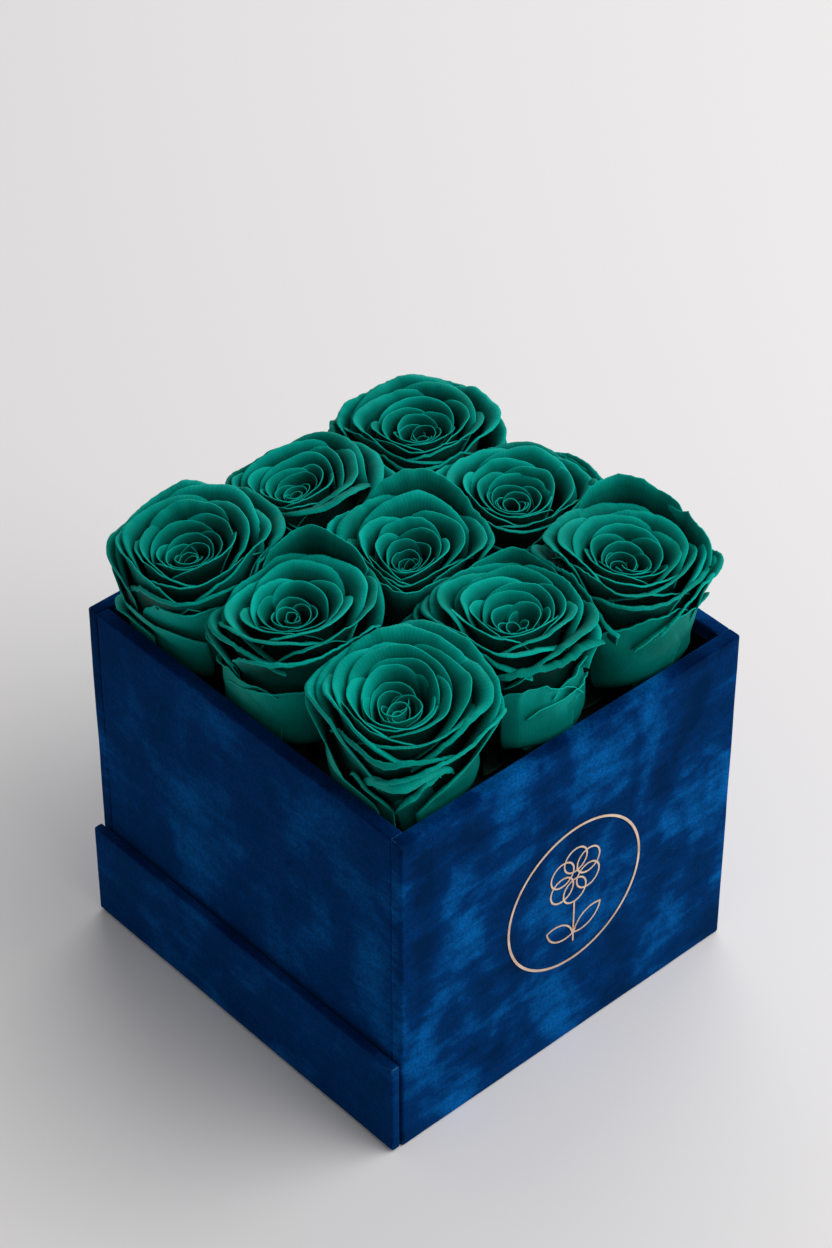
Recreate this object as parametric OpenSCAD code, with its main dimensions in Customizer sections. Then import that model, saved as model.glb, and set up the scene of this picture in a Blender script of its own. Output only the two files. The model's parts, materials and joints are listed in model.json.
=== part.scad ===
// Flower box: a square, velvet-covered board box with nine preserved roses standing in foam,
// and a shallow drawer in its base. Millimetres, +Z up.
// The origin is on the table, under the middle of the whole footprint.
// The drawer opens towards -Y. The gilt emblem is on the +X side.

/* [Box] */
// Width of the box, across the drawer front
body_w = 160; // [134:1:196]
// Depth of the box body, behind the drawer front
body_d = 154.5; // [128:0.25:190]
// Height of the box from the table to its rim
body_h = 141; // [124:1:170]
// Thickness of the board in the four walls
board_t = 4; // [2.5:0.1:5]
// Thickness of the velvet over the board
velvet_t = 0.8; // [0.5:0.1:1.2]
// How far the velvet turns down inside the rim
lip_h = 6; // [3:0.5:12]
// Thickness of the black paper lining
lining_t = 0.8; // [0.4:0.1:1.2]

/* [Shelf and base] */
// Height of the top of the drawer's mouth above the table
mouth_h = 37; // [30:0.5:44]
// Thickness of the shelf that carries the flowers
shelf_t = 3; // [2:0.5:4]
// Thickness of the base board
base_t = 3; // [2:0.5:4]
// Thickness of the felt under the base
felt_t = 1; // [0.6:0.1:1.5]

/* [Drawer] */
// How far the drawer front covers the wall above its mouth
front_overlap = 4; // [2:0.5:8]
// Thickness of the board in the drawer front
front_board_t = 2.2; // [1.5:0.1:4]
// Gap between the closed drawer front and the box
front_gap = 0.7; // [0.4:0.1:1.5]
// Gap between the drawer front and the table
front_lift = 0.8; // [0.5:0.1:2]
// Thickness of the tray's boards
tray_t = 2; // [1.5:0.1:3]
// Clearance on each side of the tray
tray_side_gap = 0.6; // [0.4:0.1:1.5]
// Clearance under the tray
tray_floor_gap = 0.4; // [0.3:0.1:1]
// Clearance over the tray
tray_top_gap = 0.8; // [0.4:0.1:2]
// Clearance behind the tray
tray_back_gap = 1.7; // [0.5:0.1:5]
// Thickness of the velvet inside the tray
tray_lining_t = 0.8; // [0.5:0.1:1.2]
// Thickness of the pad on the tray's floor
pad_t = 3; // [2:0.5:6]
// Gap around the pad
pad_gap = 0.6; // [0.3:0.1:2]

/* [Flowers] */
// How far the roses stand above the rim
bloom_rise = 37; // [20:1:45]
// Height of a rose head, without its calyx
bloom_h = 53; // [40:1:58]
// Width of a rose head from corner to corner of its cell
bloom_d = 68; // [51:1:78]
// Gap between neighbouring rose heads
bloom_gap = 0.4; // [0.2:0.1:2]
// Height of the calyx under a rose head
calyx_h = 8; // [5:0.5:12]
// Radius of the calyx where the petals leave it
calyx_r = 9; // [6:0.5:12]
// Gap between a sepal's tip and the edge of its rose's cell
sepal_gap = 2.8; // [0.5:0.1:8]
// Diameter of a stem
stem_d = 5; // [3:0.5:7]
// Depth that a stem is pushed into the foam
stem_l = 32; // [20:1:50]
// Gap around the foam block
foam_gap = 0.5; // [0.2:0.1:2]

/* [Emblem] */
// Outer diameter of the gilt ring
ring_d = 62.5; // [40:0.5:70]
// Width of the gilt ring's line
ring_line = 1; // [0.6:0.1:2]
// Width of the flower's lines
flower_line = 0.7; // [0.4:0.1:1.2]
// How far the emblem's middle is below the middle of the wall
emblem_drop = 1.5; // [-10:0.5:10]
// How far the emblem's middle is behind the middle of the wall
emblem_shift = 1.5; // [-10:0.5:10]
// Thickness of the gilt foil
foil_t = 0.2; // [0.1:0.05:0.4]

/* [Hidden] */
$fn = 64;
eps = 1; // cuts run this far past the face they open

BOX_NODES = [
    "base_felt", "base_board", "shelf_board",
    "left_wall_board", "right_wall_board", "front_wall_board", "back_wall_board",
    "left_wall_velvet", "right_wall_velvet", "front_wall_velvet", "back_wall_velvet",
    "compartment_lining", "bay_sleeve", "foam_block", "foil_ring", "foil_flower"
];
DRAWER_NODES = [
    "drawer_front_board", "drawer_front_velvet", "drawer_inner_front", "drawer_left_side",
    "drawer_right_side", "drawer_back", "drawer_floor", "drawer_lining", "drawer_pad"
];
ROWS = ["front", "middle", "back"];
COLUMNS = ["left", "centre", "right"];
ROSE_PARTS = ["bloom", "calyx", "stem"];

// The box body: outer planes, then the planes of its wall boards' inner faces.
front_t = front_board_t + 2 * velvet_t;
foot_d = body_d + front_gap + front_t;
body_y0 = -foot_d / 2 + front_t + front_gap;
body_y1 = foot_d / 2;
body_cy = (body_y0 + body_y1) / 2;
wall_t = velvet_t + board_t;
board_x = body_w / 2 - wall_t;
board_y0 = body_y0 + wall_t;
board_y1 = body_y1 - wall_t;

// The drawer bay, inside its sleeve.
bay_x = board_x - lining_t;
bay_floor = felt_t + base_t + lining_t;
shelf_z = mouth_h + lining_t;

// The flower compartment, inside its lining.
inner_x = board_x - lining_t;
inner_y0 = board_y0 + lining_t;
inner_y1 = board_y1 - lining_t;
inner_z = shelf_z + shelf_t + lining_t;

// The drawer: its front, and the tray behind it.
front_y0 = -foot_d / 2;
front_z1 = mouth_h + front_overlap;
tray_x = bay_x - tray_side_gap;
tray_y0 = front_y0 + velvet_t + front_board_t;
tray_y1 = board_y1 - tray_back_gap;
tray_z0 = bay_floor + tray_floor_gap;
tray_z1 = mouth_h - tray_top_gap;
tray_rim = tray_z1 - tray_lining_t;
tray_floor_z = tray_z0 + tray_t;

// The roses: a three by three grid of cells.
cell_w = 2 * inner_x / len(COLUMNS);
cell_d = (inner_y1 - inner_y0) / len(ROWS);
bloom_z1 = body_h + bloom_rise;
bloom_z0 = bloom_z1 - bloom_h;
foam_z1 = bloom_z0 - calyx_h;
stem_slack = 0.05;
sepal_l = min(cell_w, cell_d) / 2 - sepal_gap;
sepal_t = 0.8;
sepal_lift = 0.8;
sepal_count = 5;

function rose_node(row, column, p) = str("rose_", row, "_", column, "_", p);

// A block between two planes on each axis.
module block(x, y, z) {
    translate([x[0], y[0], z[0]])
        cube([x[1] - x[0], y[1] - y[0], z[1] - z[0]]);
}

// Moves its children from the middle of a cell to the cell in that row and column.
module in_cell(row, column) {
    middle = (len(ROWS) - 1) / 2;
    translate([(column - middle) * cell_w, (inner_y0 + inner_y1) / 2 + (row - middle) * cell_d, 0])
        children();
}

// ---- base and shelf ----

// Felt under the base, turned up over the base board's front edge.
module base_felt() {
    color("#15161c") union() {
        block([-board_x, board_x], [body_y0, board_y1], [0, felt_t]);
        block([-board_x, board_x], [body_y0, body_y0 + velvet_t], [0, bay_floor]);
    }
}

module base_board() {
    color("#8d8578")
        block([-board_x, board_x], [body_y0 + velvet_t, board_y1], [felt_t, felt_t + base_t]);
}

module shelf_board() {
    color("#8d8578")
        block([-board_x, board_x], [board_y0, board_y1], [shelf_z, shelf_z + shelf_t]);
}

// ---- walls ----

// side is -1 for the left wall and 1 for the right wall.
module side_wall_board(side) {
    color("#8d8578") mirror([side < 0 ? 1 : 0, 0, 0])
        block([board_x, board_x + board_t], [body_y0 + velvet_t, body_y1 - velvet_t],
            [velvet_t, body_h - velvet_t]);
}

module front_wall_board() {
    color("#8d8578")
        block([-board_x, board_x], [body_y0 + velvet_t, board_y0],
            [mouth_h + velvet_t, body_h - velvet_t]);
}

module back_wall_board() {
    color("#8d8578")
        block([-board_x, board_x], [board_y1, body_y1 - velvet_t],
            [velvet_t, body_h - velvet_t]);
}

// Velvet over a side wall: its face, its four edges, the lip inside the rim,
// and the return at the side of the drawer's mouth.
module side_wall_velvet(side) {
    color("#0b2a63") mirror([side < 0 ? 1 : 0, 0, 0]) union() {
        difference() {
            block([board_x, body_w / 2], [body_y0, body_y1], [0, body_h]);
            block([board_x - eps, board_x + board_t], [body_y0 + velvet_t, body_y1 - velvet_t],
                [velvet_t, body_h - velvet_t]);
        }
        block([board_x - velvet_t, board_x], [board_y0 + velvet_t, board_y1 - velvet_t],
            [body_h - lip_h, body_h]);
        block([bay_x, board_x], [body_y0, board_y0], [bay_floor, mouth_h]);
    }
}

// Velvet over the wall above the drawer's mouth.
module front_wall_velvet() {
    color("#0b2a63") union() {
        difference() {
            block([-board_x, board_x], [body_y0, board_y0], [mouth_h, body_h]);
            block([-board_x - eps, board_x + eps], [body_y0 + velvet_t, board_y0 + eps],
                [mouth_h + velvet_t, body_h - velvet_t]);
        }
        block([-board_x, board_x], [board_y0, board_y0 + velvet_t], [body_h - lip_h, body_h]);
    }
}

module back_wall_velvet() {
    color("#0b2a63") union() {
        difference() {
            block([-board_x, board_x], [board_y1, body_y1], [0, body_h]);
            block([-board_x - eps, board_x + eps], [board_y1 - eps, body_y1 - velvet_t],
                [velvet_t, body_h - velvet_t]);
        }
        block([-board_x, board_x], [board_y1 - velvet_t, board_y1], [body_h - lip_h, body_h]);
    }
}

// ---- linings ----

// Black paper on the compartment's floor and walls, up to the velvet lip.
module compartment_lining() {
    color("#0c0d10") difference() {
        block([-board_x, board_x], [board_y0, board_y1], [shelf_z + shelf_t, body_h - lip_h]);
        block([-inner_x, inner_x], [inner_y0, inner_y1], [inner_z, body_h]);
    }
}

// Black paper sleeve that the drawer slides in.
module bay_sleeve() {
    color("#0c0d10") union() {
        difference() {
            block([-board_x, board_x], [board_y0, board_y1], [felt_t + base_t, shelf_z]);
            block([-bay_x, bay_x], [board_y0 - eps, board_y1 + eps], [bay_floor, mouth_h]);
        }
        block([-board_x, board_x], [body_y0 + velvet_t, board_y0], [felt_t + base_t, bay_floor]);
    }
}

// ---- flowers ----

// Foam that fills the compartment under the roses, with a blind hole for each stem.
module foam_block() {
    color("#17191b") difference() {
        block([foam_gap - inner_x, inner_x - foam_gap], [inner_y0 + foam_gap, inner_y1 - foam_gap],
            [inner_z, foam_z1]);
        for (row = [0 : len(ROWS) - 1], column = [0 : len(COLUMNS) - 1])
            in_cell(row, column)
                translate([0, 0, foam_z1 - stem_l])
                    cylinder(h = stem_l + eps, d = stem_d + 2 * stem_slack);
    }
}

// The space a rose head fills: a ball, pressed flat by its neighbours and the walls.
module rose_bloom() {
    w = cell_w - bloom_gap;
    d = cell_d - bloom_gap;
    ball_z = bloom_z0 + bloom_h * 0.54;
    color("#05684f") intersection() {
        translate([0, 0, ball_z])
            sphere(d = bloom_d);
        block([-w / 2, w / 2], [-d / 2, d / 2], [bloom_z0, bloom_z1]);
    }
}

// Outline of the sepals seen from above: a star whose points are sepals.
sepal_root_r = stem_d / 2 + 3;
sepal_star = [for (i = [0 : sepal_count - 1], p = [0 : 3])
    let (a = (i + [0, 0.14, 0.5, 0.86][p]) * 360 / sepal_count,
        r = [sepal_l, sepal_l * 0.6, sepal_root_r, sepal_l * 0.6][p])
    [r * cos(a), r * sin(a)]];

// Hip, with sepals that spread just above the foam.
module rose_calyx() {
    color("#0a4a3a") translate([0, 0, foam_z1]) union() {
        cylinder(h = calyx_h, r1 = stem_d / 2 + 1, r2 = calyx_r);
        translate([0, 0, sepal_lift])
            linear_extrude(height = sepal_t)
                polygon(sepal_star);
    }
}

module rose_stem() {
    color("#3d5a34") translate([0, 0, foam_z1 - stem_l])
        cylinder(h = stem_l, d = stem_d);
}

// ---- emblem ----

// Lays its children, drawn flat, on the right wall.
module on_right_wall() {
    translate([body_w / 2, body_cy + emblem_shift, body_h / 2 - emblem_drop])
        rotate([90, 0, 90])
            linear_extrude(height = foil_t)
                children();
}

module circle_line(r, line) {
    difference() {
        circle(r);
        circle(r - line);
    }
}

// A leaf's outline: the lens where two circles cross.
module leaf_line(l, line) {
    r = l * 0.62;
    lift = sqrt(r * r - l * l / 4);
    difference() {
        intersection() {
            translate([l / 2, lift]) circle(r);
            translate([l / 2, -lift]) circle(r);
        }
        intersection() {
            translate([l / 2, lift]) circle(r - line);
            translate([l / 2, -lift]) circle(r - line);
        }
    }
}

module foil_ring() {
    color("#c8a078") on_right_wall()
        circle_line(ring_d / 2, ring_line);
}

// A plain six-petalled flower on a stalk, with two leaves.
module foil_flower() {
    petals = 6;
    petal_r = ring_d * 0.09;
    petal_reach = petal_r * 1.25;
    flower_y = ring_d * 0.14;
    stalk_y1 = flower_y - petal_reach - petal_r + flower_line;
    stalk_y0 = -ring_d * 0.36;
    leaf_l = ring_d * 0.24;
    color("#c8a078") on_right_wall() {
        for (i = [0 : petals - 1])
            translate([0, flower_y])
                rotate(90 + i * 360 / petals)
                    translate([petal_reach, 0])
                        circle_line(petal_r, flower_line);
        translate([-flower_line / 2, stalk_y0])
            square([flower_line, stalk_y1 - stalk_y0]);
        for (side = [0, 1])
            mirror([side, 0])
                translate([0, stalk_y0 + ring_d * 0.06])
                    rotate(30)
                        leaf_line(leaf_l, flower_line);
    }
}

// ---- drawer ----

module drawer_front_board() {
    color("#8d8578")
        block([velvet_t - body_w / 2, body_w / 2 - velvet_t], [front_y0 + velvet_t, tray_y0],
            [front_lift + velvet_t, front_z1 - velvet_t]);
}

// Velvet over the drawer front, turned in behind it as far as the tray.
module drawer_front_velvet() {
    color("#0b2a63") difference() {
        block([-body_w / 2, body_w / 2], [front_y0, front_y0 + front_t], [front_lift, front_z1]);
        block([velvet_t - body_w / 2, body_w / 2 - velvet_t], [front_y0 + velvet_t, tray_y0],
            [front_lift + velvet_t, front_z1 - velvet_t]);
        block([-tray_x, tray_x], [tray_y0 - eps / 2, tray_y0 + eps + velvet_t], [tray_z0, tray_z1]);
    }
}

// side is -1 for the left side and 1 for the right side.
module drawer_side(side) {
    color("#2b2d33") mirror([side < 0 ? 1 : 0, 0, 0])
        block([tray_x - tray_t, tray_x], [tray_y0, tray_y1], [tray_z0, tray_rim]);
}

module drawer_inner_front() {
    color("#2b2d33")
        block([tray_t - tray_x, tray_x - tray_t], [tray_y0, tray_y0 + tray_t], [tray_z0, tray_rim]);
}

module drawer_back() {
    color("#2b2d33")
        block([tray_t - tray_x, tray_x - tray_t], [tray_y1 - tray_t, tray_y1], [tray_z0, tray_rim]);
}

module drawer_floor() {
    color("#2b2d33")
        block([tray_t - tray_x, tray_x - tray_t], [tray_y0 + tray_t, tray_y1 - tray_t],
            [tray_z0, tray_floor_z]);
}

// Velvet inside the tray, turned over the top of its sides.
module drawer_lining() {
    x = tray_x - tray_t;
    y0 = tray_y0 + tray_t;
    y1 = tray_y1 - tray_t;
    color("#0b2a63") difference() {
        union() {
            block([-x, x], [y0, y1], [tray_floor_z, tray_z1]);
            block([-tray_x, tray_x], [tray_y0, tray_y1], [tray_rim, tray_z1]);
        }
        block([tray_lining_t - x, x - tray_lining_t], [y0 + tray_lining_t, y1 - tray_lining_t],
            [tray_floor_z + tray_lining_t, tray_z1 + eps]);
    }
}

// Thin soft pad on the drawer's floor.
module drawer_pad() {
    edge = tray_t + tray_lining_t + pad_gap;
    pad_z = tray_floor_z + tray_lining_t;
    color("#0e3478")
        block([edge - tray_x, tray_x - edge], [tray_y0 + edge, tray_y1 - edge], [pad_z, pad_z + pad_t]);
}

base_felt();
base_board();
shelf_board();
side_wall_board(-1);  // left_wall_board
side_wall_board(1);  // right_wall_board
front_wall_board();
back_wall_board();
side_wall_velvet(-1);  // left_wall_velvet
side_wall_velvet(1);  // right_wall_velvet
front_wall_velvet();
back_wall_velvet();
compartment_lining();
bay_sleeve();
foam_block();
foil_ring();
foil_flower();
drawer_front_board();
drawer_front_velvet();
drawer_inner_front();
drawer_side(-1);  // drawer_left_side
drawer_side(1);  // drawer_right_side
drawer_back();
drawer_floor();
drawer_lining();
drawer_pad();
for (row = [0 : len(ROWS) - 1], column = [0 : len(COLUMNS) - 1]) {
    in_cell(row, column) rose_bloom();
    in_cell(row, column) rose_calyx();
    in_cell(row, column) rose_stem();
}
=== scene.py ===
"""Flower box: velvet-covered box, nine preserved roses in foam, and a shallow drawer in the base.

Everything is in metres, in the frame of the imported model: +Z up, the drawer opens towards -Y
and the gilt emblem is on the +X side. Roses are worked out in millimetres and scaled at the end.
"""
import json
import math
from collections import namedtuple

import bmesh
import bpy
import numpy as np
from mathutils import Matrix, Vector


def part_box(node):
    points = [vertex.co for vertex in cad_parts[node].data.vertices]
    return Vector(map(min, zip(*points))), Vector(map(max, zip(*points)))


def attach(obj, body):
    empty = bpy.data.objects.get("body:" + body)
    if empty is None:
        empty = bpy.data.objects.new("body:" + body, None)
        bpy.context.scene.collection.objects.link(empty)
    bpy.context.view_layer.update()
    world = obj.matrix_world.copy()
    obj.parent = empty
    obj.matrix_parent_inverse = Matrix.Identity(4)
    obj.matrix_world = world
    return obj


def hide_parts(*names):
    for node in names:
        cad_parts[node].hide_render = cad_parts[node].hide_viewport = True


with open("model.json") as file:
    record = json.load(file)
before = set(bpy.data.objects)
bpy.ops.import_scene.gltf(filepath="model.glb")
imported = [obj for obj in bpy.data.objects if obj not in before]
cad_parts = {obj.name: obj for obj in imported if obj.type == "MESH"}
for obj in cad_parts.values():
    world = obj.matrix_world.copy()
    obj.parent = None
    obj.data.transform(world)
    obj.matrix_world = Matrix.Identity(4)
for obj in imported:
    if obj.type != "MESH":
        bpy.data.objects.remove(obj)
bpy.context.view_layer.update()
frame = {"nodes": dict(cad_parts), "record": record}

MM = 0.001
ROWS = ("front", "middle", "back")
COLUMNS = ("left", "centre", "right")


# ---------------------------------------------------------------- camera

CAMERA_TURN = math.radians(47.79)
CAMERA_TILT = math.radians(40.11)
CAMERA_AIM = Vector((-0.022, 0.0238, 0.1135))
CAMERA_DISTANCE = 1.25
CAMERA_LENS = 102.9


def make_camera():
    """A long lens that looks down on the corner between the drawer front and the emblem."""
    camera = bpy.data.cameras.new("camera")
    camera.lens = CAMERA_LENS
    camera.clip_end = 20
    seat = bpy.data.objects.new("camera", camera)
    level = math.cos(CAMERA_TILT)
    back = Vector((math.sin(CAMERA_TURN) * level, -math.cos(CAMERA_TURN) * level, math.sin(CAMERA_TILT)))
    seat.location = CAMERA_AIM + back * CAMERA_DISTANCE
    seat.rotation_euler = (math.pi / 2 - CAMERA_TILT, 0, CAMERA_TURN)
    bpy.context.scene.collection.objects.link(seat)
    bpy.context.scene.camera = seat


# ---------------------------------------------------------------- node helpers

def new_material(name):
    """A new material, its node tree and its shader."""
    material = bpy.data.materials.new(name)
    material.use_nodes = True
    tree = material.node_tree
    return material, tree, tree.nodes["Principled BSDF"]


def add(tree, kind, **values):
    """Adds a node. A value named in_X sets the input X, and any other sets a property."""
    node = tree.nodes.new(kind)
    for key, value in values.items():
        if key.startswith("in_"):
            node.inputs[key[3:].replace("_", " ")].default_value = value
        else:
            setattr(node, key, value)
    return node


def object_place(tree, scale=(1, 1, 1), turn=(0, 0, 0)):
    """The place on the object, stretched and turned for a pattern that has a direction."""
    place = add(tree, "ShaderNodeTexCoord")
    mapping = add(tree, "ShaderNodeMapping")
    mapping.inputs["Scale"].default_value = scale
    mapping.inputs["Rotation"].default_value = turn
    tree.links.new(place.outputs["Object"], mapping.inputs["Vector"])
    return mapping.outputs["Vector"]


def noise(tree, vector, scale, detail=3, roughness=0.5, distortion=0.0):
    """Cloudy noise from 0 to 1. A scale of 1000 has patches about a millimetre wide."""
    node = add(tree, "ShaderNodeTexNoise", in_Scale=scale, in_Detail=detail, in_Roughness=roughness,
               in_Distortion=distortion)
    tree.links.new(vector, node.inputs["Vector"])
    return node.outputs["Fac"]


def grey(level):
    """A colour that is the same in red, green and blue."""
    return (level, level, level)


def ramp(tree, value, stops):
    """Colour ramp: stops are (position, colour)."""
    stops = list(stops)
    node = add(tree, "ShaderNodeValToRGB")
    elements = node.color_ramp.elements
    while len(elements) < len(stops):
        elements.new(0.5)
    for element, (position, colour) in zip(elements, stops):
        element.position = position
        element.color = (*colour, 1)
    tree.links.new(value, node.inputs["Fac"])
    return node.outputs["Color"]


def mix(tree, factor, a, b, blend="MIX"):
    """Mixes two colours. factor, a and b are sockets or plain values."""
    node = add(tree, "ShaderNodeMix", data_type="RGBA", blend_type=blend)
    for socket, value in ((node.inputs[0], factor), (node.inputs[6], a), (node.inputs[7], b)):
        if isinstance(value, bpy.types.NodeSocket):
            tree.links.new(value, socket)
        elif isinstance(value, tuple):
            socket.default_value = (*value, 1)
        else:
            socket.default_value = value
    return node.outputs[2]


def maths(tree, operation, a, b):
    """One sum on two values. a and b are sockets or plain numbers."""
    node = add(tree, "ShaderNodeMath", operation=operation)
    for socket, value in ((node.inputs[0], a), (node.inputs[1], b)):
        if isinstance(value, bpy.types.NodeSocket):
            tree.links.new(value, socket)
        else:
            socket.default_value = value
    return node.outputs[0]


def bump(tree, height, distance, strength=1.0, under=None):
    """Bump from a height, distance in metres, over another bump where one is given."""
    node = add(tree, "ShaderNodeBump", in_Strength=strength, in_Distance=distance)
    tree.links.new(height, node.inputs["Height"])
    if under is not None:
        tree.links.new(under, node.inputs["Normal"])
    return node.outputs["Normal"]


def attribute(tree, name):
    """A value that the mesh holds at its points."""
    return add(tree, "ShaderNodeAttribute", attribute_name=name).outputs["Fac"]


# ---------------------------------------------------------------- materials

VELVET_BLUE = ((0.0, 0.004, 0.03), (0.0, 0.017, 0.092), (0.001, 0.082, 0.29))
VELVET_SHEEN = (0.0, 0.3, 1.0)
SCUFF_COLOUR = (0.05, 0.2, 0.33)
PETAL_GREEN = ((0.0, 0.23, 0.18), (0.0, 0.32, 0.26), (0.001, 0.41, 0.34))
# Colour of the painted highlight along each petal's edge
PETAL_RIM_HIGHLIGHT = (0.002, 0.5, 0.41)


def velvet_material(name, turn=0.5, worn=True):
    """Short-pile velvet: brushed light and dark patches, fine pile, and scuffs where it is worn.

    Velvet that isn't worn reads neither of the attributes worn and stroked.
    """
    material, tree, shader = new_material(name)
    brushed = object_place(tree, scale=(1, 1, 0.7), turn=(turn, turn, 0.3))
    patches = noise(tree, brushed, 38, detail=4, roughness=0.52, distortion=0.25)
    along = object_place(tree, scale=(0.3, 0.3, 1), turn=(0.6, 0.5, 0))
    streaks = noise(tree, along, 170, detail=3, roughness=0.6)
    pile = noise(tree, object_place(tree), 1050, detail=3, roughness=0.7)
    lie = maths(tree, "ADD", maths(tree, "MULTIPLY", patches, 0.72), maths(tree, "MULTIPLY", streaks, 0.28))
    if worn:
        stroked = maths(tree, "MULTIPLY", maths(tree, "SUBTRACT", lie, 0.5), attribute(tree, "stroked"))
        lie = maths(tree, "ADD", stroked, 0.5)
    colour = ramp(tree, lie, zip((0.38, 0.5, 0.62), VELVET_BLUE))
    fleck = ramp(tree, pile, ((0.3, grey(0.5)), (0.7, grey(1.5))))
    colour = mix(tree, 1.0, colour, fleck, "MULTIPLY")
    if worn:
        rubbed = noise(tree, object_place(tree), 900, 4, 0.7)
        scuff = maths(tree, "MULTIPLY", attribute(tree, "worn"), rubbed)
        colour = mix(tree, ramp(tree, scuff, ((0.25, grey(0)), (0.5, grey(1)))), colour, SCUFF_COLOUR)
    tree.links.new(colour, shader.inputs["Base Color"])
    shader.inputs["Roughness"].default_value = 0.9
    shader.inputs["Specular IOR Level"].default_value = 0.03
    shader.inputs["Specular Tint"].default_value = (0.1, 0.5, 1.0, 1)
    shader.inputs["Sheen Weight"].default_value = 0.35
    shader.inputs["Sheen Roughness"].default_value = 0.45
    shader.inputs["Sheen Tint"].default_value = (*VELVET_SHEEN, 1)
    fine = bump(tree, pile, 0.00025, 0.5)
    tree.links.new(bump(tree, lie, 0.0012, 0.35, fine), shader.inputs["Normal"])
    return material


def petal_material():
    """Preserved rose petal: teal green, with a painted highlight along its edge, painted shade under its rims
    and in the middle of the heart, and fine veins.
    """
    material, tree, shader = new_material("petal")
    uv = add(tree, "ShaderNodeUVMap", uv_map="petal").outputs["UV"]
    veins = add(tree, "ShaderNodeTexWave", wave_type="BANDS", bands_direction="X", in_Scale=15,
                in_Distortion=6, in_Detail=4, in_Detail_Scale=2)
    tree.links.new(uv, veins.inputs["Vector"])
    mottle = noise(tree, object_place(tree), 95, 4, 0.6)
    grain = noise(tree, object_place(tree), 1500, 3, 0.6)
    own_tone = maths(tree, "MULTIPLY", attribute(tree, "tone"), 0.4)
    lie = maths(tree, "ADD", maths(tree, "MULTIPLY", mottle, 0.6), own_tone)
    colour = ramp(tree, lie, zip((0.3, 0.5, 0.72), PETAL_GREEN))
    vein_tint = ramp(tree, veins.outputs["Fac"], ((0.0, grey(0.9)), (0.6, grey(1))))
    colour = mix(tree, 1.0, colour, vein_tint, "MULTIPLY")
    # Painted shade: the colour darkens deep under each petal's rim and in the middle of the heart, where
    # shade falls between crowded petals.
    painted_shade_tint = ramp(tree, attribute(tree, "below"), ((0.04, grey(1)), (0.45, grey(0.38)), (1.0, grey(0.1))))
    colour = mix(tree, 1.0, colour, painted_shade_tint, "MULTIPLY")
    # Painted highlight: each petal is paler in a thin band along its edge, where light catches it.
    painted_rim_highlight = ramp(tree, attribute(tree, "rim"), ((0.55, grey(0)), (1.0, grey(0.75))))
    colour = mix(tree, painted_rim_highlight, colour, PETAL_RIM_HIGHLIGHT)
    tree.links.new(colour, shader.inputs["Base Color"])
    shader.inputs["Roughness"].default_value = 0.62
    shader.inputs["Specular IOR Level"].default_value = 0.1
    shader.inputs["Specular Tint"].default_value = (0.1, 0.9, 0.8, 1)
    fine = bump(tree, grain, 0.0001, 0.35)
    ribs = bump(tree, veins.outputs["Fac"], 0.0001, 0.3, fine)
    tree.links.new(bump(tree, mottle, 0.0008, 0.25, ribs), shader.inputs["Normal"])
    return material


def sepal_material():
    """Sepals and hips: dark dyed green, mottled."""
    material, tree, shader = new_material("sepal")
    mottle = noise(tree, object_place(tree), 260, 4, 0.6)
    colour = ramp(tree, mottle, ((0.3, (0.002, 0.03, 0.02)), (0.7, (0.006, 0.08, 0.05))))
    tree.links.new(colour, shader.inputs["Base Color"])
    shader.inputs["Roughness"].default_value = 0.7
    tree.links.new(bump(tree, mottle, 0.0004, 0.5), shader.inputs["Normal"])
    return material


def stem_material():
    """Dried rose stem: fibres along its length."""
    material, tree, shader = new_material("stem")
    fibre = noise(tree, object_place(tree, scale=(1, 1, 0.08)), 1600, 3, 0.6)
    colour = ramp(tree, fibre, ((0.3, (0.03, 0.06, 0.02)), (0.7, (0.09, 0.15, 0.05))))
    tree.links.new(colour, shader.inputs["Base Color"])
    shader.inputs["Roughness"].default_value = 0.75
    tree.links.new(bump(tree, fibre, 0.0003, 0.6), shader.inputs["Normal"])
    return material


def foil_material():
    """Stamped pale gold foil: it follows the pile a little, and its shine is broken up."""
    material, tree, shader = new_material("gilt_foil")
    pile = noise(tree, object_place(tree), 1500, 3, 0.6)
    rub = noise(tree, object_place(tree), 180, 3, 0.6)
    colour = ramp(tree, rub, ((0.3, (0.66, 0.45, 0.31)), (0.7, (0.95, 0.75, 0.58))))
    tree.links.new(colour, shader.inputs["Base Color"])
    shader.inputs["Metallic"].default_value = 1.0
    tree.links.new(ramp(tree, pile, ((0.3, grey(0.25)), (0.7, grey(0.5)))), shader.inputs["Roughness"])
    tree.links.new(bump(tree, pile, 0.00025, 0.6), shader.inputs["Normal"])
    return material


def paper_material(name, dark, light, roughness=0.8):
    """Board, paper or felt: fine fibres and a faint cloudiness."""
    material, tree, shader = new_material(name)
    fibre = noise(tree, object_place(tree), 1300, 4, 0.65)
    cloud = noise(tree, object_place(tree), 60, 3)
    colour = mix(tree, cloud, ramp(tree, fibre, ((0.3, dark), (0.7, light))), dark)
    tree.links.new(colour, shader.inputs["Base Color"])
    shader.inputs["Roughness"].default_value = roughness
    shader.inputs["Specular IOR Level"].default_value = 0.25
    tree.links.new(bump(tree, fibre, 0.00015, 0.5), shader.inputs["Normal"])
    return material


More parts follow.
